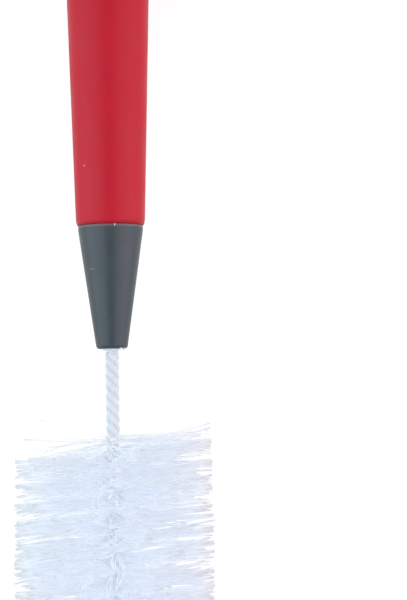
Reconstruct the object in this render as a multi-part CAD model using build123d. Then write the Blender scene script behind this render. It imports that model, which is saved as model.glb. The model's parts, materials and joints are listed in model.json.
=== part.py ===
"""Bottle brush lying on a flat surface.

A hollow tapered handle with a hanging eye, a grey ferrule plugged into it, two hairpin wires twisted into a
four-strand stem, and the rows of filament that the twist holds.

Every piece is drawn about the brush's own axis: local Z runs from the filament end to the handle, and local
zero is the seam between ferrule and handle. The finished set is then laid down so that it rests on Z = 0.
"""

from build123d import *
import os
from math import acos, atan2, cos, degrees, hypot, pi, radians, sin, sqrt, tan

# Driving dimensions, in millimetres and degrees.

# Twisted stem: two coated wires, each folded into a hairpin, so that four strands show.
wire_diameter = 1.5
stem_pitch = 11.55
strand_gap = 0.02  # clear space between neighbouring strands
bare_stem_length = 23.6
fold_slack = 1.0  # from the last twisted section to the start of the fold's bend
bump_below_nose = 1.8  # first place below the ferrule where a strand faces sideways
legs_apart = 90.0  # angle between the two legs of one hairpin

# Filament pack: two helical rows, half a turn apart.
pack_length = 118.0
pack_radius = 27.3
row_thickness = 1.0
row_clearance = 0.2  # from the strands to the root of a row
row_count = 2
rest_flat = 1.0  # by which the soft rim yields where it rests on the floor

# Ferrule: cone below the seam, spigot above it, cored out around a webbed boss that grips the stem.
ferrule_length = 34.0
ferrule_rim_radius = 8.93
ferrule_rim_rounding = 0.35
ferrule_land = 1.3
nose_radius = 4.25
nose_rounding = 1.0
nose_depth = 15.0  # solid length between the core and the tip of the nose
spigot_radius = 6.8
spigot_length = 20.0
spigot_lead = 0.8
spigot_wall = 1.6
core_draft = 0.7  # by which the core is narrower at its floor than at its mouth
stem_clearance = 0.05
boss_wall = 1.3
web_count = 4
web_thickness = 1.2
web_setback = 3.0  # below the top of the spigot
strand_setback = 1.0  # cut ends of the wires, below the top of the boss

# Handle: a hollow moulding, narrow at its lip, with a solid dished eye at its end.
handle_length = 161.0
lip_radius = 9.15
lip_height = 1.9
lip_rounding = 0.3
neck_radius = 9.54
taper_angle = 1.68
belly_length = 61.0  # from the end of the straight taper to the end of the handle
belly_arc = 300.0
fit_clearance = 0.05
handle_wall = 2.4
socket_extra = 2.0  # depth of the socket beyond the spigot
eye_block = 37.0  # solid length of the handle that holds the eye
cavity_rounding = 4.0
eye_from_end = 11.2
eye_radius = 4.0
eye_half_thickness = 5.5
eye_rounding = 1.0
dish_radius = 22.0
dish_rounding = 1.2


def lay_radius(diameter, pitch, angle, gap):
    """Radius of the lay at which neighbouring strands, that angle apart, clear each other by the gap."""
    samples = 200
    halvings = 40

    def nearest(radius):
        heights = (pitch / 4 * i / samples for i in range(samples))
        return min(sqrt(2 * radius**2 * (1 - cos(angle - 2 * pi * z / pitch)) + z**2) for z in heights)

    low = diameter / 2
    high = 2 * diameter
    for _ in range(halvings):
        middle = (low + high) / 2
        if nearest(middle) < diameter + gap:
            low = middle
        else:
            high = middle
    return high


# Sizes that follow from the driving ones.
strand_radius = lay_radius(wire_diameter, stem_pitch, radians(legs_apart), strand_gap)
stem_radius = strand_radius + wire_diameter / 2
nose_z = -ferrule_length
pack_top = nose_z - bare_stem_length
pack_bottom = pack_top - pack_length
strands_top = spigot_length - strand_setback
turn_per_mm = -360 / stem_pitch  # a left-hand lay turns clockwise, seen from the handle, as it climbs
belly_start = handle_length - belly_length
cavity_end = handle_length - eye_block
eye_z = handle_length - eye_from_end


def azimuth_at(z):
    """Angle of the first strand about the axis, in degrees, at local height z."""
    return turn_per_mm * (z - (nose_z - bump_below_nose))


def row_azimuth_at(z):
    """Angle of the first filament row, which the wires pinch between the legs of a hairpin."""
    return azimuth_at(z) + legs_apart / 2


def taper_radius(z):
    """Outer radius of the handle's straight taper at local height z."""
    return neck_radius + tan(radians(taper_angle)) * (z - lip_height)


def half_section(*points):
    """Closed outline of a turned shape, drawn as radius and height, with its corners sharp."""
    return make_face(Polyline(*points, close=True))


def rounded(face, corner, radius):
    """The flat outline with the corner nearest to that point rounded."""
    return fillet(face.vertices().sort_by_distance(corner)[0], radius)


def spun(face):
    """Solid of revolution about Z of an outline drawn as radius and height."""
    return revolve(Plane.XZ * face, Axis.Z)


def strand_path(angle):
    """Centreline of one strand, from the filament end up into the ferrule, turned to its place in the lay."""
    helix = Helix(pitch=stem_pitch, height=strands_top - pack_bottom, radius=strand_radius, lefthand=True)
    return Pos(0, 0, pack_bottom) * Rot(0, 0, azimuth_at(pack_bottom) + angle) * helix


def wire_section(path):
    """Round section of the wire, square to the start of its path."""
    return Plane(origin=path @ 0, z_dir=path % 0) * Circle(wire_diameter / 2)


def hairpin_wire(angle):
    """One wire: two twisted legs, joined by the fold that closes the filament end of the stem."""
    first = strand_path(angle)
    second = strand_path(angle + legs_apart)
    across = second @ 0 - first @ 0
    tip = first @ 0 + across / 2 - Vector(0, 0, across.length / 2 + fold_slack)
    fold = Spline(first @ 0, tip, second @ 0, tangents=(first % 0 * -1, second % 0))
    legs = [sweep(wire_section(leg), path=leg, is_frenet=True) for leg in (first, second)]
    bend = sweep(wire_section(fold), path=fold)
    return legs[0] + bend + legs[1]


def filament_rows():
    """Closed helical ramps in the place of the filament, evenly spaced about the stem."""
    root = stem_radius + row_clearance
    helix = Helix(pitch=stem_pitch, height=pack_length - row_thickness, radius=root, lefthand=True)
    section = Plane.XZ * Pos((root + pack_radius) / 2, 0) * Rectangle(pack_radius - root, row_thickness)
    row = sweep(section, path=helix, is_frenet=True)
    low = pack_bottom + row_thickness / 2
    azimuths = [row_azimuth_at(low) + 360 / row_count * i for i in range(row_count)]
    return [Pos(0, 0, low) * Rot(0, 0, azimuth) * row for azimuth in azimuths]


def ferrule():
    """Cone and spigot in one moulding, cored from the spigot end around a webbed boss."""
    bore_radius = stem_radius + stem_clearance
    outline = half_section(
        (bore_radius, spigot_length),
        (spigot_radius - spigot_lead, spigot_length),
        (spigot_radius, spigot_length - spigot_lead),
        (spigot_radius, 0),
        (ferrule_rim_radius, 0),
        (ferrule_rim_radius, -ferrule_land),
        (nose_radius, nose_z),
        (bore_radius, nose_z),
    )
    outline = rounded(outline, (ferrule_rim_radius, 0), ferrule_rim_rounding)
    outline = rounded(outline, (nose_radius, nose_z), nose_rounding)

    boss_radius = bore_radius + boss_wall
    mouth_radius = spigot_radius - spigot_wall
    floor_z = nose_z + nose_depth
    core_outline = half_section(
        (boss_radius, spigot_length),
        (mouth_radius, spigot_length),
        (mouth_radius - core_draft, floor_z),
        (boss_radius, floor_z),
    )
    web_height = spigot_length - web_setback - floor_z
    web = Pos(mouth_radius / 2, 0, floor_z + web_height / 2) * Box(mouth_radius, web_thickness, web_height)
    webs = [Rot(0, 0, 360 / web_count * i) * web for i in range(web_count)]
    return spun(outline) - (spun(core_outline) - webs)


def handle_arcs():
    """Centre of the belly arc, and centre and radius of the end dome that it runs into."""
    slope = radians(taper_angle)
    belly = (taper_radius(belly_start) - belly_arc * cos(slope), belly_start + belly_arc * sin(slope))
    drop = handle_length - belly[1]
    dome_arc = (belly_arc**2 - belly[0] ** 2 - drop**2) / (2 * (belly_arc - drop))
    return belly, (0, handle_length - dome_arc), dome_arc


def handle_outline():
    """Half section of the handle before it is hollowed, from the lip to the far end."""
    belly, dome, dome_arc = handle_arcs()
    slope = radians(taper_angle)
    turn = degrees(atan2(dome[1] - belly[1], dome[0] - belly[0]))
    neck = (neck_radius, lip_height)
    edges = [
        TangentArc(neck, (lip_radius, 0), tangent=(-sin(slope), -cos(slope))),
        Line(neck, (taper_radius(belly_start), belly_start)),
        CenterArc(belly, belly_arc, -taper_angle, turn + taper_angle),
        CenterArc(dome, dome_arc, turn, 90 - turn),
        Line((0, handle_length), (0, 0)),
        Line((0, 0), (lip_radius, 0)),
    ]
    return rounded(make_face(Curve(edges)), (lip_radius, 0), lip_rounding)


def cavity_outline():
    """Half section of the hollow: the socket for the spigot, a cone to full width, and the long cavity."""
    socket_radius = spigot_radius + fit_clearance
    socket_depth = spigot_length + socket_extra
    wide_start = socket_depth + handle_wall
    far_radius = taper_radius(belly_start) - handle_wall
    outline = half_section(
        (0, 0),
        (socket_radius, 0),
        (socket_radius, socket_depth),
        (taper_radius(wide_start) - handle_wall, wide_start),
        (far_radius, belly_start),
        (far_radius, cavity_end),
        (0, cavity_end),
    )
    return rounded(outline, (far_radius, cavity_end), cavity_rounding)


def new_edges(body, before):
    """Curved edges of the body that a cut has made."""
    same_place = 0.01
    old = [edge.center() for edge in before.edges()]
    curved = [edge for edge in body.edges() if edge.geom_type != GeomType.LINE]
    return [edge for edge in curved if min((edge.center() - point).length for point in old) > same_place]


def handle():
    """Hollow moulding with its socket for the ferrule at the lip and a dished, drilled eye at the far end."""
    plain = spun(handle_outline()) - spun(cavity_outline())
    cutter_length = 3 * taper_radius(belly_start)  # longer than the handle is wide
    dish_place = eye_half_thickness + dish_radius
    dish = Cylinder(dish_radius, cutter_length, rotation=(0, 90, 0))
    dished = plain - [Pos(0, side, eye_z) * dish for side in (-dish_place, dish_place)]
    dished = fillet(new_edges(dished, plain), dish_rounding)
    drilled = dished - Pos(0, 0, eye_z) * Cylinder(eye_radius, cutter_length, rotation=(90, 0, 0))
    return fillet(new_edges(drilled, dished), eye_rounding)


def rest_tilt():
    """Angle of the brush's axis below level, in degrees, when it lies on the pack's rim and the handle's belly.

    The floor is then tangent to the belly, and cuts the rest flat off the pack at its highest point on that side.
    """
    floor_side = 90  # azimuth of local Y, which faces the floor
    highest_middle = pack_top - row_thickness / 2
    turn_to_floor = (floor_side - row_azimuth_at(highest_middle)) % (360 / row_count)
    contact = pack_top - turn_to_floor / abs(turn_per_mm)
    belly, _, _ = handle_arcs()
    across = pack_radius - rest_flat - belly[0]
    along = contact - belly[1]
    return degrees(acos(belly_arc / hypot(along, across)) + atan2(along, across))


def brush():
    """Every piece about the brush's own axis, by name."""
    return {
        "handle": handle(),
        "ferrule": ferrule(),
        "stem_wire_a": hairpin_wire(0),
        "stem_wire_b": hairpin_wire(180),
        "filament_rows": Compound(filament_rows()),
    }


def laid_down(pieces):
    """The pieces turned on to their side at the rest tilt, centred over the origin and resting on Z = 0."""
    turn = Rot(-90 - rest_tilt(), 0, 0)
    lying = {name: turn * piece for name, piece in pieces.items()}
    floor = lying["handle"].bounding_box().min.Z
    middle = Compound([solid for piece in lying.values() for solid in piece.solids()]).bounding_box().center()
    shift = Pos(-middle.X, -middle.Y, -floor)
    lying = {name: shift * piece for name, piece in lying.items()}
    side = 2 * (pack_length + handle_length)  # of a block wider than the brush is long
    below = Pos(0, 0, -side / 2) * Box(side, side, side)
    lying["filament_rows"] = Compound([row - below for row in lying["filament_rows"].solids()])
    return lying


if __name__ == "__main__":
    os.makedirs("parts", exist_ok=True)
    for name, piece in laid_down(brush()).items():
        export_step(piece, f"parts/{name}.step")
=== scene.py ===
"""Bottle brush: finishes for its handle, ferrule and twisted stem, its filament head, and a stage."""

import json
from math import atan, pi, radians

import bpy
import numpy as np
from mathutils import Matrix, Vector


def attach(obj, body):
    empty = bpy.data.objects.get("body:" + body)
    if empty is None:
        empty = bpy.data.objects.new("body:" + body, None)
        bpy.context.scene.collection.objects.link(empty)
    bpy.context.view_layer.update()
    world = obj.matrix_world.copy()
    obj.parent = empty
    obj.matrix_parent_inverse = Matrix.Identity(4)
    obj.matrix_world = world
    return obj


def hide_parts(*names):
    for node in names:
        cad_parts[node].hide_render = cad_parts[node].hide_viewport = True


bl_info = {
    "name": "Bottle Brush Studio",
    "version": (1, 0, 0),
    "blender": (4, 5, 0),
    "location": "3D View > Sidebar > Brush",
    "description": "Finishes a twisted-wire bottle brush and grows its filament head",
    "category": "Object",
}

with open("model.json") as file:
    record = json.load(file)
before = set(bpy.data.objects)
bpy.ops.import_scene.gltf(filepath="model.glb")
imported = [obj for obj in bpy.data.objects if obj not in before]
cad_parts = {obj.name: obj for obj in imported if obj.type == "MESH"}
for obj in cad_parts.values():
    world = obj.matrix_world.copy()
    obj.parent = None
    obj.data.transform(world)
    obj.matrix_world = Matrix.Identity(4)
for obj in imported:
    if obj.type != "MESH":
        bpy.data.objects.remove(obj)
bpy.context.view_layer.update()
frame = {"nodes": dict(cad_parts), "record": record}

MM = 0.001
PROPS = "bottle_brush"
EYE_ABOVE_SEAM = 149.8  # mm along the brush, from the seam of ferrule and handle to the hanging hole
NOSE_BELOW_SEAM = 34.0
HEAD_BELOW_SEAM = 57.6
HEAD_LENGTH = 118.0
HEAD_RADIUS = 27.3
STEM_PITCH = 11.55
STEM_RADIUS = 1.954
FIRST_ROW_AZIMUTH = radians(4.5)  # where a filament row starts at the top of the head
RIM_RADIUS = 8.93
NOSE_RADIUS = 4.25
CAMERA_ACROSS = 25.32  # mm to the side of the brush's axis
EYE_ALONG = -64.5
AIM_ALONG = -20.87


def brush_axes():
    """Place of the seam, and the matrix from the brush's own axes, in millimetres, to the frame, in metres.

    Along the brush's own axes, X runs across, Y down towards the floor, and Z from the head to the handle.
    """
    hole = next(mount for mount in frame["record"]["mounts"] if mount["name"] == "hanging_hole")
    up = Vector(hole["axis"]).normalized()
    across = Vector((1, 0, 0))
    to_handle = up.cross(across)
    seam = Vector(hole["pos_m"]) - EYE_ABOVE_SEAM * MM * to_handle
    turn = Matrix((across, -up, to_handle)).transposed().to_4x4()
    return Matrix.Translation(seam) @ turn @ Matrix.Scale(MM, 4)


BRUSH = brush_axes()


def in_frame(x, y, z):
    """A point on the brush's own axes, in millimetres, as a point of the frame."""
    return BRUSH @ Vector((x, y, z))


def on_cone(x, z, radius):
    """The upper point of a round surface of that radius, x across the brush and z along it."""
    return in_frame(x, -((radius**2 - x**2) ** 0.5), z)


# Settings

def length(name, text, default, low=0.0):
    return bpy.props.FloatProperty(
        name=name, description=text, default=default, min=low, unit="LENGTH", precision=5
    )


def share(name, text, default, low=0.0, high=1.0):
    return bpy.props.FloatProperty(name=name, description=text, default=default, min=low, max=high)


def colour(name, text, default):
    return bpy.props.FloatVectorProperty(
        name=name, description=text, default=default, size=3, min=0.0, max=1.0, subtype="COLOR"
    )


class FinishSettings(bpy.types.PropertyGroup):
    handle: colour("Handle", "Colour of the handle's moulding", (0.518, 0.0078, 0.0255))
    ferrule: colour("Ferrule", "Colour of the ferrule's moulding", (0.0375, 0.058, 0.0715))
    wire: colour("Wire", "Colour of the coating on the stem's wires", (0.44, 0.475, 0.51))
    filament: colour("Filament", "Colour of the filament", (0.74, 0.80, 0.865))
    # Painted light: Glow and Glow level set a glow on the filament, which is no lamp, standing in for the
    # light the clear nylon passes on.
    glow: colour("Glow", "Colour of the light that the clear filament passes on", (0.86, 0.90, 0.985))
    painted_glow_level: share("Glow level", "Share of that light that shows", 0.275)
    # Painted light: the coating's glow is emission on wires that are no lamp, and it brightens them.
    coat_painted_glow: share("Coating glow", "The same for the white coating of the wires", 0.30)
    scuff: colour("Scuff", "Colour of scuffs and specks", (0.62, 0.62, 0.62))
    grain: length("Grain", "Size of the moulded surface's grain", 0.0006)


class FilamentSettings(bpy.types.PropertyGroup):
    per_row: bpy.props.IntProperty(
        name="Filaments in a row",
        description="Filaments that stand out from one row",
        default=6100,
        min=100,
    )
    diameter: length("Diameter", "Diameter of one filament", 0.00022)
    segments: bpy.props.IntProperty(
        name="Segments", description="Straight stretches in one filament", default=5, min=2, max=12
    )
    in_clump: bpy.props.IntProperty(
        name="Filaments in a clump", description="Filaments that lean on each other", default=5, min=1
    )
    gather: share("Gather", "How far a clump draws together at its tips", 0.86)
    shear: share("Shear", "Rise of the filaments on one side and fall on the other", 0.115)
    crush: share("Crush", "How far the uppermost filaments lean into the head", 0.075)
    sway: share("Sway", "Typical lean of a clump along the brush", 0.05)
    fan: bpy.props.FloatProperty(
        name="Fan", description="Typical turn of a clump about the brush", default=0.24, unit="ROTATION"
    )
    seed: bpy.props.IntProperty(name="Seed", description="Seed of the random numbers", default=11, min=0)


class StageSettings(bpy.types.PropertyGroup):
    distance: length("Distance", "From the camera to the brush's axis", 0.82)
    view_height: length("View height", "Height of what the camera takes in, at the brush's axis", 0.165)
    roll: bpy.props.FloatProperty(
        name="Roll",
        description="Turn of the camera about its line of sight",
        default=radians(-0.806),
        unit="ROTATION",
    )
    lamps: bpy.props.FloatProperty(
        name="Lamps", description="Strength of the two side lamps", default=3.8, min=0.0, unit="POWER"
    )
    sky: share("Sky", "Strength of the light from all round", 0.40, 0.0, 4.0)


class BrushSettings(bpy.types.PropertyGroup):
    finish: bpy.props.PointerProperty(type=FinishSettings, name="Finish", description="Colours and grain")
    filament: bpy.props.PointerProperty(
        type=FilamentSettings, name="Filament", description="The filament head"
    )
    stage: bpy.props.PointerProperty(
        type=StageSettings, name="Stage", description="Camera, lamps and floor"
    )


def settings():
    return getattr(bpy.context.scene, PROPS)


# Shader node groups

class Nodes:
    """Adds nodes to a tree and links them, so that a material reads from top to bottom."""

    def __init__(self, tree):
        self.tree = tree

    def add(self, kind, inputs=None, **options):
        node = self.tree.nodes.new(kind)
        for name, value in options.items():
            setattr(node, name, value)
        for name, value in (inputs or {}).items():
            self.feed(node.inputs[name], value)
        return node

    def feed(self, socket, value):
        if isinstance(value, bpy.types.NodeSocket):
            self.tree.links.new(value, socket)
        else:
            socket.default_value = value

    def maths(self, operation, *values):
        return self.add("ShaderNodeMath", dict(enumerate(values)), operation=operation).outputs[0]

    def group(self, tree, **inputs):
        node = self.add("ShaderNodeGroup", node_tree=tree)
        for name, value in inputs.items():
            self.feed(node.inputs[name.replace("_", " ").capitalize()], value)
        return node

    def noise(self, vector, scale, detail):
        inputs = {"Vector": vector, "Scale": scale, "Detail": detail}
        return self.add("ShaderNodeTexNoise", inputs).outputs["Fac"]

    def bump(self, height, strength, distance):
        inputs = {"Height": height, "Strength": strength, "Distance": distance}
        return self.add("ShaderNodeBump", inputs).outputs["Normal"]

    def mix(self, factor, first, second):
        node = self.add("ShaderNodeMix", data_type="RGBA")
        self.feed(node.inputs["Factor"], factor)
        self.feed(node.inputs[6], first)
        self.feed(node.inputs[7], second)
        return node.outputs[2]


def new_group(name, inputs, outputs):
    """A node group with float, vector and colour sockets, and its input node."""
    tree = bpy.data.node_groups.new(name, "ShaderNodeTree")
    for label, (kind, default) in inputs.items():
        socket = tree.interface.new_socket(label, in_out="INPUT", socket_type=f"NodeSocket{kind}")
        socket.default_value = default
    for label, kind in outputs.items():
        tree.interface.new_socket(label, in_out="OUTPUT", socket_type=f"NodeSocket{kind}")
    nodes = Nodes(tree)
    return nodes, nodes.add("NodeGroupInput").outputs, nodes.add("NodeGroupOutput").inputs


def grain_group():
    """Fine moulded grain as a height, and slow patches that vary a colour."""
    nodes, given, out = new_group(
        "moulded grain",
        {
            "Position": ("Vector", (0, 0, 0)),
            "Grain size": ("Float", 0.0006),
            "Patch size": ("Float", 0.012),
            "Depth": ("Float", 1.0),
        },
        {"Height": "Float", "Patches": "Float"},
    )
    fine = nodes.noise(given["Position"], nodes.maths("DIVIDE", 1.0, given["Grain size"]), 3.0)
    broad = nodes.noise(given["Position"], nodes.maths("DIVIDE", 1.0, given["Patch size"]), 4.0)
    nodes.feed(out["Height"], nodes.maths("MULTIPLY", fine, given["Depth"]))
    nodes.feed(out["Patches"], broad)
    return nodes.tree


def mark_group():
    """One small mark on a surface: 1 at its centre, 0 outside its length and width, with a ragged edge."""
    nodes, given, out = new_group(
        "surface mark",
        {
            "Position": ("Vector", (0, 0, 0)),
            "Centre": ("Vector", (0, 0, 0)),
            "Width": ("Float", 0.001),
            "Length": ("Float", 0.001),
        },
        {"Mask": "Float"},
    )
    away = nodes.add(
        "ShaderNodeVectorMath", {0: given["Position"], 1: given["Centre"]}, operation="SUBTRACT"
    )
    parts = nodes.add("ShaderNodeSeparateXYZ", {0: away.outputs[0]})
    size = nodes.add(
        "ShaderNodeCombineXYZ",
        {
            "X": nodes.maths("DIVIDE", parts.outputs["X"], given["Width"]),
            "Y": nodes.maths("DIVIDE", parts.outputs["Y"], given["Length"]),
            "Z": nodes.maths("DIVIDE", parts.outputs["Z"], given["Width"]),
        },
    )
    far = nodes.add("ShaderNodeVectorMath", {0: size.outputs[0]}, operation="LENGTH").outputs["Value"]
    rag = nodes.add("ShaderNodeTexNoise", {"Vector": given["Position"], "Scale": 2500.0}).outputs["Fac"]
    edge = nodes.maths("ADD", far, nodes.maths("MULTIPLY", nodes.maths("SUBTRACT", rag, 0.5), 0.9))
    spread = nodes.add("ShaderNodeMapRange", {0: edge, 1: 1.1, 2: 0.6, 3: 0.0, 4: 1.0})
    nodes.feed(out["Mask"], spread.outputs[0])
    return nodes.tree


def along_group():
    """Height along the brush in metres above the seam, and distance out from its axis."""
    nodes, given, out = new_group(
        "along brush", {"Position": ("Vector", (0, 0, 0))}, {"Along": "Float", "Out": "Float"}
    )
    axis = (BRUSH.to_3x3() @ Vector((0, 0, 1))).normalized()
    from_seam = nodes.add(
        "ShaderNodeVectorMath", {0: given["Position"], 1: BRUSH.translation}, operation="SUBTRACT"
    )
    along = nodes.add("ShaderNodeVectorMath", {0: from_seam.outputs[0], 1: axis}, operation="DOT_PRODUCT")
    nodes.feed(out["Along"], along.outputs["Value"])
    across = nodes.add("ShaderNodeVectorMath", {0: from_seam.outputs[0], 1: axis}, operation="CROSS_PRODUCT")
    away = nodes.add("ShaderNodeVectorMath", {0: across.outputs[0]}, operation="LENGTH").outputs["Value"]
    nodes.feed(out["Out"], away)
    return nodes.tree


GROUPS = {}


def shared(name):
    """A shared node group, built the first time that a material asks for it."""
    makers = {"grain": grain_group, "mark": mark_group, "along": along_group}
    if name not in GROUPS:
        GROUPS[name] = makers[name]()
    return GROUPS[name]


def new_material(name):
    material = bpy.data.materials.new(name)
    material.use_nodes = True
    nodes = Nodes(material.node_tree)
    return material, nodes, material.node_tree.nodes["Principled BSDF"].inputs


def put_on(piece, material):
    """Gives every slot of a piece that material."""
    if not piece.material_slots:
        piece.data.materials.append(material)
    for slot in piece.material_slots:
        slot.material = material


def shaded(tone, factor):
    return (*(channel * factor for channel in tone), 1.0)


# Materials

def handle_finish():
    """Matt red moulding with a fine grain, a light speck, and painted shade that darkens the lip at the
    seam.
    """
    finish = settings().finish
    material, nodes, surface = new_material("handle red")
    place = nodes.add("ShaderNodeTexCoord").outputs["Object"]
    grain = nodes.group(
        shared("grain"), position=place, grain_size=finish.grain, patch_size=0.009, depth=1.0
    )
    along = nodes.group(shared("along"), position=place).outputs["Along"]
    body = nodes.mix(grain.outputs["Patches"], shaded(finish.handle, 0.93), shaded(finish.handle, 1.07))
    # Painted shade: the red darkens over the last 1.1 mm above the seam, where the groove between handle and
    # ferrule lies in shadow.
    seam_shade = nodes.add("ShaderNodeMapRange", {0: along, 1: 0.0, 2: 0.0011, 3: 0.55, 4: 0.0}).outputs[0]
    body = nodes.mix(seam_shade, body, shaded(finish.handle, 0.30))
    speck = nodes.group(
        shared("mark"), position=place, centre=on_cone(-6.75, 15.95, 9.98), width=0.00034, length=0.0003
    )
    body = nodes.mix(nodes.maths("MULTIPLY", speck.outputs[0], 0.8), body, (0.95, 0.22, 0.20, 1.0))
    nodes.feed(surface["Base Color"], body)
    rough = nodes.add("ShaderNodeMapRange", {0: grain.outputs["Patches"], 1: 0.3, 2: 0.7, 3: 0.42, 4: 0.52})
    nodes.feed(surface["Roughness"], rough.outputs[0])
    surface["Specular IOR Level"].default_value = 0.22
    nodes.feed(surface["Normal"], nodes.bump(grain.outputs["Height"], 0.25, 0.00004))
    return material


def ferrule_finish():
    """Satin grey moulding, scuffed in places, with a painted highlight, tinted by painted red bounce light
    from the handle, as a pale line at its rim.
    """
    finish = settings().finish
    material, nodes, surface = new_material("ferrule grey")
    place = nodes.add("ShaderNodeTexCoord").outputs["Object"]
    grain = nodes.group(
        shared("grain"), position=place, grain_size=finish.grain, patch_size=0.006, depth=1.0
    )
    along = nodes.group(shared("along"), position=place).outputs["Along"]
    body = nodes.mix(grain.outputs["Patches"], shaded(finish.ferrule, 0.86), shaded(finish.ferrule, 1.14))
    # Painted highlight with painted red bounce light: a pale pinkish line on the rim's rounded edge, from
    # 0.9 to 0.1 mm below the seam.
    rim_highlight = nodes.add("ShaderNodeMapRange", {0: along, 1: -0.0009, 2: -0.0001, 3: 0.0, 4: 0.75}).outputs[0]
    body = nodes.mix(rim_highlight, body, (0.30, 0.19, 0.20, 1.0))
    scuff = nodes.group(
        shared("mark"), position=place, centre=on_cone(-5.2, -12.2, 7.4), width=0.0013, length=0.0002
    )
    body = nodes.mix(nodes.maths("MULTIPLY", scuff.outputs[0], 0.13), body, (*finish.scuff, 1.0))
    spot = nodes.group(
        shared("mark"), position=place, centre=on_cone(6.1, -9.5, 7.76), width=0.00045, length=0.00035
    )
    body = nodes.mix(nodes.maths("MULTIPLY", spot.outputs[0], 0.6), body, shaded(finish.ferrule, 0.35))
    nodes.feed(surface["Base Color"], body)
    rough = nodes.add("ShaderNodeMapRange", {0: grain.outputs["Patches"], 1: 0.3, 2: 0.7, 3: 0.36, 4: 0.46})
    nodes.feed(surface["Roughness"], rough.outputs[0])
    surface["Specular IOR Level"].default_value = 0.4
    nodes.feed(surface["Normal"], nodes.bump(grain.outputs["Height"], 0.2, 0.00003))
    return material


def wire_finish():
    """White plastic coating that scatters light, slightly blotchy, with a painted glow, and painted shade as
    a dark spot below the nose.
    """
    finish = settings().finish
    material, nodes, surface = new_material("coated wire")
    place = nodes.add("ShaderNodeTexCoord").outputs["Object"]
    grain = nodes.group(shared("grain"), position=place, grain_size=0.0004, patch_size=0.0025, depth=1.0)
    body = nodes.mix(grain.outputs["Patches"], shaded(finish.wire, 0.9), shaded(finish.wire, 1.06))
    # Painted shade: a near-black spot on the wire just below the ferrule's nose, where shade falls under the
    # nose as the wire leaves it.
    spot = nodes.group(
        shared("mark"),
        position=place,
        centre=in_frame(-1.1, -1.5, -NOSE_BELOW_SEAM - 1.2),
        width=0.0004,
        length=0.0004,
    )
    body = nodes.mix(nodes.maths("MULTIPLY", spot.outputs[0], 0.75), body, (0.08, 0.09, 0.10, 1.0))
    nodes.feed(surface["Base Color"], body)
    surface["Roughness"].default_value = 0.45
    surface["Specular IOR Level"].default_value = 0.25
    surface["Subsurface Weight"].default_value = 0.9
    surface["Subsurface Radius"].default_value = (1.0, 1.0, 1.0)
    surface["Subsurface Scale"].default_value = 0.002
    # Painted light: the coating glows faintly blue-white, as no lamp does, to brighten the wires and the
    # flash.
    surface["Emission Color"].default_value = (0.84, 0.92, 1.0, 1.0)
    surface["Emission Strength"].default_value = finish.coat_painted_glow
    nodes.feed(surface["Normal"], nodes.bump(grain.outputs["Height"], 0.2, 0.00003))
    return material


def filament_finish():
    """Clear nylon with a faint painted glow that stands in for the light it passes on; greyer at its tips,
    where the painted glow turns grey.
    """
    finish = settings().finish
    material, nodes, surface = new_material("filament nylon")
    place = nodes.add("ShaderNodeTexCoord").outputs["Object"]
    patches = nodes.noise(place, 160.0, 3.0)
    body = nodes.mix(patches, shaded(finish.filament, 0.94), shaded(finish.filament, 1.03))
    surface["Roughness"].default_value = 0.3
    out = nodes.group(shared("along"), position=place).outputs["Out"]
    tip = nodes.add("ShaderNodeMapRange", {0: out, 1: 0.0245, 2: 0.0272, 3: 0.0, 4: 1.0}).outputs[0]
    body = nodes.mix(tip, body, shaded(finish.filament, 0.86))
    nodes.feed(surface["Base Color"], body)
    # Painted light: the filament glows bluish-white along its length and grey at its tips.
    nodes.feed(surface["Emission Color"], nodes.mix(tip, (*finish.glow, 1.0), (0.62, 0.62, 0.62, 1.0)))
    surface["Emission Strength"].default_value = finish.painted_glow_level
    return material


# Mesh helpers

def deselect():
    if bpy.context.object and bpy.context.object.mode != "OBJECT":
        bpy.ops.object.mode_set(mode="OBJECT")
    bpy.ops.object.select_all(action="DESELECT")


def make_active(piece):
    deselect()
    piece.select_set(True)
    bpy.context.view_layer.objects.active = piece


def settle(piece):
    """Puts a piece's place, turn and size into its mesh."""
    make_active(piece)
    bpy.ops.object.transform_apply(location=True, rotation=True, scale=True)


# Filament head

def model_filament(segments):
    """One straight filament along X, a unit long and in radius, cut into segments and closed at its ends."""
    deselect()
    bpy.ops.mesh.primitive_cylinder_add(
        vertices=3, radius=1, depth=1, end_fill_type="NGON", location=(0.5, 0, 0), rotation=(0, pi / 2, 0)
    )
    filament = bpy.context.object
    settle(filament)
    bpy.ops.object.mode_set(mode="EDIT")
    for i in range(1, segments):
        bpy.ops.mesh.select_all(action="SELECT")
        bpy.ops.mesh.bisect(plane_co=(i / segments, 0, 0), plane_no=(1, 0, 0))
    bpy.ops.mesh.select_all(action="SELECT")
    bpy.ops.mesh.normals_make_consistent(inside=False)
    bpy.ops.object.mode_set(mode="OBJECT")
    points = np.array([vertex.co for vertex in filament.data.vertices])
    faces = [tuple(face.vertices) for face in filament.data.polygons]
    bpy.data.objects.remove(filament)
    return points, faces


def unit(vectors):
    return vectors / np.linalg.norm(vectors, axis=-1, keepdims=True)


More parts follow.
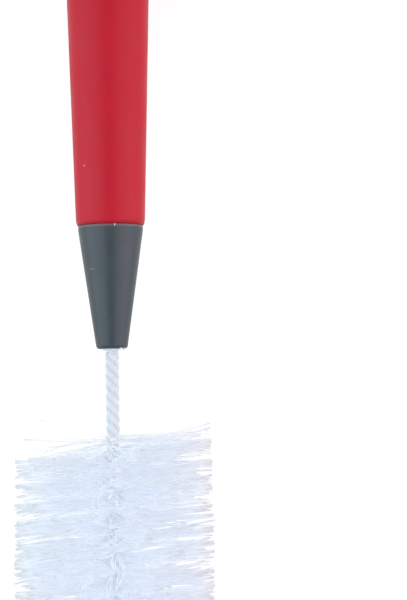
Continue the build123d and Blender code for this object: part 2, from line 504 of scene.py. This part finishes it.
def row_paths(look, row, steps):
    """Centrelines of one row's filaments on the brush's own axes, in millimetres.

    The result goes filament by step by XYZ. Neighbouring filaments form clumps that share a lean and a turn.
    """
    dice = np.random.default_rng(look.seed + row)
    count = look.per_row
    depth = np.sort(dice.random(count)) * HEAD_LENGTH
    thin = dice.random(count) < np.interp(depth, (1, 3, 7), (0.85, 0.62, 0))  # few filaments at the top
    depth = depth[~thin]
    count = len(depth)
    azimuth = FIRST_ROW_AZIMUTH + pi * row + 2 * pi * depth / STEM_PITCH

    sizes = dice.integers(look.in_clump // 2, look.in_clump * 2, count)
    clump = np.searchsorted(np.cumsum(sizes), np.arange(count), side="right")
    members = np.bincount(clump)
    middle_depth = (np.bincount(clump, depth) / members)[clump]
    middle_azimuth = (np.bincount(clump, azimuth) / members)[clump]
    clump_lean = dice.normal(0, look.sway, len(members))[clump] * np.interp(depth, (2, 8), (0.25, 1))
    clump_turn = dice.normal(0, look.fan, len(members))[clump]
    clump_reach = dice.normal(0, 0.12, len(members))[clump]

    t = np.linspace(0, 1, steps)[None, :]
    drawn = look.gather * t**1.4
    turn = azimuth[:, None] + drawn * (middle_azimuth - azimuth)[:, None]
    turn = turn + t * (clump_turn + dice.normal(0, 0.03, count))[:, None]
    level = -HEAD_BELOW_SEAM - depth[:, None] - drawn * (middle_depth - depth)[:, None]

    opening = np.clip(depth / 30, 0, 1)
    tip = HEAD_RADIUS - 0.45 + 0.4 * opening + clump_reach + dice.normal(0, 0.16, count)
    tip = np.minimum(tip, HEAD_RADIUS + 0.4)
    short = dice.random(count) < 0.05
    tip = np.where(short, tip - dice.random(count) * 3.0, tip)
    root = 0.55 * STEM_RADIUS
    reach = root + t * (tip - root)[:, None]
    upright = np.clip(-np.sin(azimuth), 0, 1)
    lean = look.shear * np.cos(azimuth) - look.crush * np.exp(-depth / 5.0)
    stray = dice.normal(0, 0.005 + 0.05 * upright**2) * np.interp(depth, (3, 8), (2.2, 1))
    lean = lean + clump_lean * (1 + 1.1 * upright) + stray
    bow = dice.normal(0, 0.22, (2, count))[:, :, None] * np.sin(pi * t)
    level = level + lean[:, None] * reach + bow[0]
    x = reach * np.cos(turn) - bow[1] * np.sin(turn)
    y = reach * np.sin(turn) + bow[1] * np.cos(turn)
    return np.stack([x, y, level], axis=-1)


def grow(name, paths, radius, points, faces):
    """One mesh in which the modelled filament is bent along each path."""
    turn = np.array(BRUSH.to_3x3())
    line = paths @ turn.T + np.array(BRUSH.translation)
    line[..., 2] = np.maximum(line[..., 2], radius)
    ahead = unit(np.gradient(line, axis=1))
    along = unit(turn[:, 2])
    side = unit(along - (ahead @ along)[..., None] * ahead)
    other = np.cross(ahead, side)

    steps = line.shape[1]
    station = np.rint(points[:, 0] * (steps - 1)).astype(int)
    roll = np.random.default_rng(len(line)).random(len(line))[:, None] * 2 * pi
    angle = np.arctan2(points[:, 2], points[:, 1])[None, :] + roll
    across = np.cos(angle)[..., None] * side[:, station] + np.sin(angle)[..., None] * other[:, station]
    placed = (line[:, station] + radius * across).reshape(-1, 3)

    corners = np.concatenate([np.array(face) for face in faces])
    sizes = np.array([len(face) for face in faces])
    offsets = np.arange(len(line))[:, None] * len(points)
    loops = (corners[None, :] + offsets).ravel()
    totals = np.tile(sizes, len(line))
    mesh = bpy.data.meshes.new(name)
    mesh.vertices.add(len(placed))
    mesh.vertices.foreach_set("co", placed.astype(np.float32).ravel())
    mesh.loops.add(len(loops))
    mesh.loops.foreach_set("vertex_index", loops.astype(np.int32))
    mesh.polygons.add(len(totals))
    mesh.polygons.foreach_set("loop_start", (np.cumsum(totals) - totals).astype(np.int32))
    mesh.update(calc_edges=True)
    mesh.shade_smooth()
    piece = bpy.data.objects.new(name, mesh)
    bpy.context.scene.collection.objects.link(piece)
    return piece


# Small moulding marks

def rough_bead(name, radius, thickness, centre, lumps):
    """An uneven ring of flash about the brush's axis."""
    deselect()
    bpy.ops.mesh.primitive_torus_add(
        major_radius=radius * MM, minor_radius=thickness * MM, major_segments=48, minor_segments=10
    )
    bead = bpy.context.object
    bead.name = name
    bead.matrix_world = Matrix.Translation(in_frame(*centre)) @ BRUSH.to_3x3().normalized().to_4x4()
    settle(bead)
    bpy.ops.object.mode_set(mode="EDIT")
    bpy.ops.mesh.select_all(action="SELECT")
    bpy.ops.transform.vertex_random(offset=lumps * MM, uniform=0.4, normal=0.6, seed=3)
    bpy.ops.mesh.vertices_smooth(factor=0.5, repeat=1)
    bpy.ops.object.mode_set(mode="OBJECT")
    bpy.ops.object.shade_smooth()
    return bead


def shred(name, point, size, lean):
    """A thin torn flake of plastic, length by width, standing along the brush."""
    deselect()
    bpy.ops.mesh.primitive_ico_sphere_add(subdivisions=2, radius=1)
    flake = bpy.context.object
    flake.name = name
    turn = BRUSH.to_3x3().normalized().to_4x4() @ Matrix.Rotation(lean, 4, "Y")
    scale = Matrix.Diagonal((size[0] * MM, 0.25 * size[0] * MM, size[1] * MM, 1))
    flake.matrix_world = Matrix.Translation(point) @ turn @ scale
    settle(flake)
    bpy.ops.object.mode_set(mode="EDIT")
    bpy.ops.mesh.select_all(action="SELECT")
    bpy.ops.transform.vertex_random(offset=0.25 * size[0] * MM, uniform=0.6, normal=0.2, seed=5)
    bpy.ops.object.mode_set(mode="OBJECT")
    bpy.ops.object.shade_smooth()
    return flake


# Operators

class BRUSH_OT_finish_handle(bpy.types.Operator):
    """Give the handle its matt red moulding"""

    bl_idname = "brush.finish_handle"
    bl_label = "Finish handle"

    def execute(self, context):
        put_on(frame["nodes"]["handle"], handle_finish())
        return {"FINISHED"}


class BRUSH_OT_finish_ferrule(bpy.types.Operator):
    """Give the ferrule its satin grey moulding"""

    bl_idname = "brush.finish_ferrule"
    bl_label = "Finish ferrule"

    def execute(self, context):
        put_on(frame["nodes"]["ferrule"], ferrule_finish())
        return {"FINISHED"}


class BRUSH_OT_finish_stem(bpy.types.Operator):
    """Give the twisted wires their plastic coating"""

    bl_idname = "brush.finish_stem"
    bl_label = "Finish stem"

    def execute(self, context):
        coating = wire_finish()
        for wire in ("stem_wire_a", "stem_wire_b"):
            put_on(frame["nodes"][wire], coating)
        return {"FINISHED"}


class BRUSH_OT_grow_filament(bpy.types.Operator):
    """Grow the two rows of filament that the twisted wires hold"""

    bl_idname = "brush.grow_filament"
    bl_label = "Grow filament"

    def execute(self, context):
        look = settings().filament
        nylon = filament_finish()
        points, faces = model_filament(look.segments)
        for row, name in enumerate(("filament_row_a", "filament_row_b")):
            paths = row_paths(look, row, look.segments + 1)
            piece = grow(name, paths, look.diameter / 2, points, faces)
            put_on(piece, nylon)
            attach(piece, "root")
            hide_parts("filament_rows")
        return {"FINISHED"}


class BRUSH_OT_add_flash(bpy.types.Operator):
    """Add the torn flash around the wires at the ferrule's nose, and the chip at the seam"""

    bl_idname = "brush.add_flash"
    bl_label = "Add flash"

    def execute(self, context):
        coating = wire_finish()
        nose = -NOSE_BELOW_SEAM
        flakes = [
            rough_bead("nose_flash", 2.15, 0.36, (0, 0, nose), 0.18),
            shred("nose_flake_right", on_cone(3.4, nose - 0.1, NOSE_RADIUS - 0.4), (0.34, 0.5), 0.5),
            shred("nose_flake_middle", on_cone(2.5, nose + 0.05, NOSE_RADIUS - 0.3), (0.42, 0.36), -0.3),
            shred("nose_flake_left", on_cone(-2.4, nose - 0.15, NOSE_RADIUS - 1.0), (0.32, 0.42), -0.6),
            shred("seam_chip", on_cone(1.43, -0.35, RIM_RADIUS + 0.03), (0.15, 0.5), 0.1),
        ]
        for flake in flakes:
            put_on(flake, coating)
            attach(flake, "root")
        return {"FINISHED"}


class BRUSH_OT_set_stage(bpy.types.Operator):
    """Set up the floor, the lamps, the light from all round and the camera"""

    bl_idname = "brush.set_stage"
    bl_label = "Set stage"

    def execute(self, context):
        add_floor()
        add_lamps()
        add_sky()
        add_camera()
        context.scene.view_settings.view_transform = "Standard"
        return {"FINISHED"}


def seen_mask(nodes):
    """1 for what the camera sees, straight or by gloss or through plastic, and 0 for bounced light."""
    path = nodes.add("ShaderNodeLightPath").outputs
    seen = nodes.maths("MAXIMUM", path["Is Camera Ray"], path["Is Glossy Ray"])
    return nodes.maths("MAXIMUM", seen, path["Is Transmission Ray"])


def add_floor():
    """A white floor that glows to the eye, so that it shows white, and still takes the brush's shadow."""
    deselect()
    bpy.ops.mesh.primitive_plane_add(size=6)
    floor = bpy.context.object
    floor.name = "floor"
    material = bpy.data.materials.new("floor white")
    material.use_nodes = True
    nodes = Nodes(material.node_tree)
    material.node_tree.nodes.remove(material.node_tree.nodes["Principled BSDF"])
    plain = nodes.add("ShaderNodeBsdfDiffuse", {"Color": (0.86, 0.86, 0.86, 1)})
    faint = nodes.add("ShaderNodeBsdfDiffuse", {"Color": (0.22, 0.22, 0.22, 1)})
    glow = nodes.add("ShaderNodeEmission", {"Color": (1, 1, 1, 1), "Strength": 0.86})
    white = nodes.add("ShaderNodeAddShader", {0: faint.outputs[0], 1: glow.outputs[0]})
    both = nodes.add("ShaderNodeMixShader", {0: seen_mask(nodes), 1: plain.outputs[0], 2: white.outputs[0]})
    nodes.feed(material.node_tree.nodes["Material Output"].inputs["Surface"], both.outputs[0])
    put_on(floor, material)


def add_lamps():
    """Two long soft boxes, one down each side of the brush."""
    stage = settings().stage
    sides = ((-1, (0.92, 1.0, 1.03)), (1, (1.03, 0.865, 0.90)))
    for side, tint in sides:
        data = bpy.data.lights.new("side_lamp", "AREA")
        data.shape = "RECTANGLE"
        data.size = 0.35
        data.size_y = 1.2
        data.energy = stage.lamps
        data.color = tint
        lamp = bpy.data.objects.new("side_lamp", data)
        bpy.context.scene.collection.objects.link(lamp)
        lamp.location = (side * 0.55, 0, 0.30)
        aim = Vector((0, 0, 0.02)) - lamp.location
        lamp.rotation_euler = aim.to_track_quat("-Z", "Y").to_euler()


def add_sky():
    """Even light from all round."""
    world = bpy.data.worlds.new("sky")
    world.use_nodes = True
    world.node_tree.nodes["Background"].inputs["Color"].default_value = (1, 1, 1, 1)
    world.node_tree.nodes["Background"].inputs["Strength"].default_value = settings().stage.sky
    bpy.context.scene.world = world


def add_camera():
    """Looks down square to the brush from above its head, towards the ferrule."""
    stage = settings().stage
    distance = stage.distance / MM
    eye = in_frame(CAMERA_ACROSS, -distance, EYE_ALONG)
    target = in_frame(CAMERA_ACROSS, 0, AIM_ALONG)
    to_handle = (BRUSH.to_3x3() @ Vector((0, 0, 1))).normalized()
    ahead = (target - eye).normalized()
    right = ahead.cross(to_handle).normalized()
    level = Matrix((right, right.cross(ahead), -ahead)).transposed().to_4x4()
    data = bpy.data.cameras.new("camera")
    data.sensor_fit = "VERTICAL"
    data.angle_y = 2 * atan(stage.view_height / 2 / (target - eye).length)
    data.clip_start = 0.05
    camera = bpy.data.objects.new("camera", data)
    bpy.context.scene.collection.objects.link(camera)
    camera.matrix_world = Matrix.Translation(eye) @ level @ Matrix.Rotation(stage.roll, 4, "Z")
    bpy.context.scene.camera = camera


class BRUSH_PT_panel(bpy.types.Panel):
    """Lists the steps that finish the brush"""

    bl_idname = "BRUSH_PT_panel"
    bl_label = "Bottle Brush"
    bl_space_type = "VIEW_3D"
    bl_region_type = "UI"
    bl_category = "Brush"

    def draw(self, context):
        for step in STEPS:
            self.layout.operator(step.bl_idname)


STEPS = (
    BRUSH_OT_finish_handle,
    BRUSH_OT_finish_ferrule,
    BRUSH_OT_finish_stem,
    BRUSH_OT_grow_filament,
    BRUSH_OT_add_flash,
    BRUSH_OT_set_stage,
)
CLASSES = (FinishSettings, FilamentSettings, StageSettings, BrushSettings, *STEPS, BRUSH_PT_panel)


def register():
    for item in CLASSES:
        bpy.utils.register_class(item)
    setattr(bpy.types.Scene, PROPS, bpy.props.PointerProperty(type=BrushSettings))


def unregister():
    delattr(bpy.types.Scene, PROPS)
    for item in reversed(CLASSES):
        bpy.utils.unregister_class(item)


def main():
    register()
    bpy.ops.brush.finish_handle()
    bpy.ops.brush.finish_ferrule()
    bpy.ops.brush.finish_stem()
    bpy.ops.brush.grow_filament()
    bpy.ops.brush.add_flash()
    bpy.ops.brush.set_stage()


if __name__ == "__main__":
    main()
